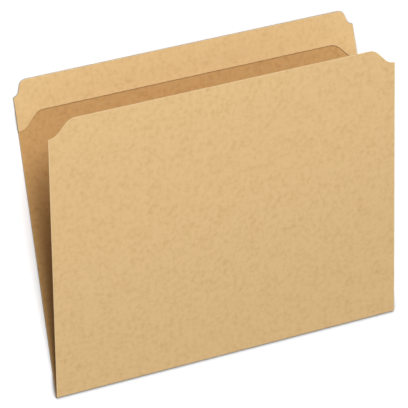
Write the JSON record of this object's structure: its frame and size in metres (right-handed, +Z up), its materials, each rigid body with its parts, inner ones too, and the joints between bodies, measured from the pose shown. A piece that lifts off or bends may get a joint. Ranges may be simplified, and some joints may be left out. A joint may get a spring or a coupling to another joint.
{
  "type": "file folder",
  "caption": "Letter-size kraft file folder lying ajar, with a full-width reinforced tab, a scored bottom and a front cover that opens flat.",
  "frame": {"origin": "middle of the folder's outline, on the surface that the back cover lies on", "axes": "+X along the bottom fold, +Y from the fold to the tab, +Z up out of the back cover"},
  "size_m": [0.2984, 0.2412, 0.0569],
  "materials": {
    "kraft_paper": "matte",
    "glue_film": "satin"
  },
  "bodies": {
    "back": {"back_cover": "kraft_paper", "tab_fold": "kraft_paper", "tab_ply": "kraft_paper", "tab_glue": "glue_film"},
    "fold": {"bottom_fold": "kraft_paper"},
    "strip_1": {"score_strip_1": "kraft_paper"},
    "strip_2": {"score_strip_2": "kraft_paper"},
    "strip_3": {"score_strip_3": "kraft_paper"},
    "front": {"front_cover": "kraft_paper"}
  },
  "joints": [
    {"name": "cover_hinge", "type": "hinge", "parent": "back", "child": "fold", "pos_m": [0, -0.12077, 0.00062], "axis": [1, 0, 0], "range_deg": [-14.5, 165.5], "deforming": ["bottom_fold"]},
    {"name": "spine_fold", "type": "hinge", "parent": "fold", "child": "strip_1", "pos_m": [0, -0.12077, 0.00062], "axis": [1, 0, 0], "range_deg": [0, 90]},
    {"name": "score_1_fold", "type": "hinge", "parent": "strip_1", "child": "strip_2", "pos_m": [0, -0.11348, 0.00286], "axis": [1, 0, 0], "range_deg": [-30, 0]},
    {"name": "score_2_fold", "type": "hinge", "parent": "strip_2", "child": "strip_3", "pos_m": [0, -0.10733, 0.00445], "axis": [1, 0, 0], "range_deg": [-30, 0]},
    {"name": "score_3_fold", "type": "hinge", "parent": "strip_3", "child": "front", "pos_m": [0, -0.10118, 0.00604], "axis": [1, 0, 0], "range_deg": [-30, 0]}
  ],
  "couplings": [
    {"joint": "spine_fold", "follows": "score_1_fold", "ratio": -3},
    {"joint": "score_2_fold", "follows": "score_1_fold", "ratio": 1},
    {"joint": "score_3_fold", "follows": "score_1_fold", "ratio": 1}
  ]
}
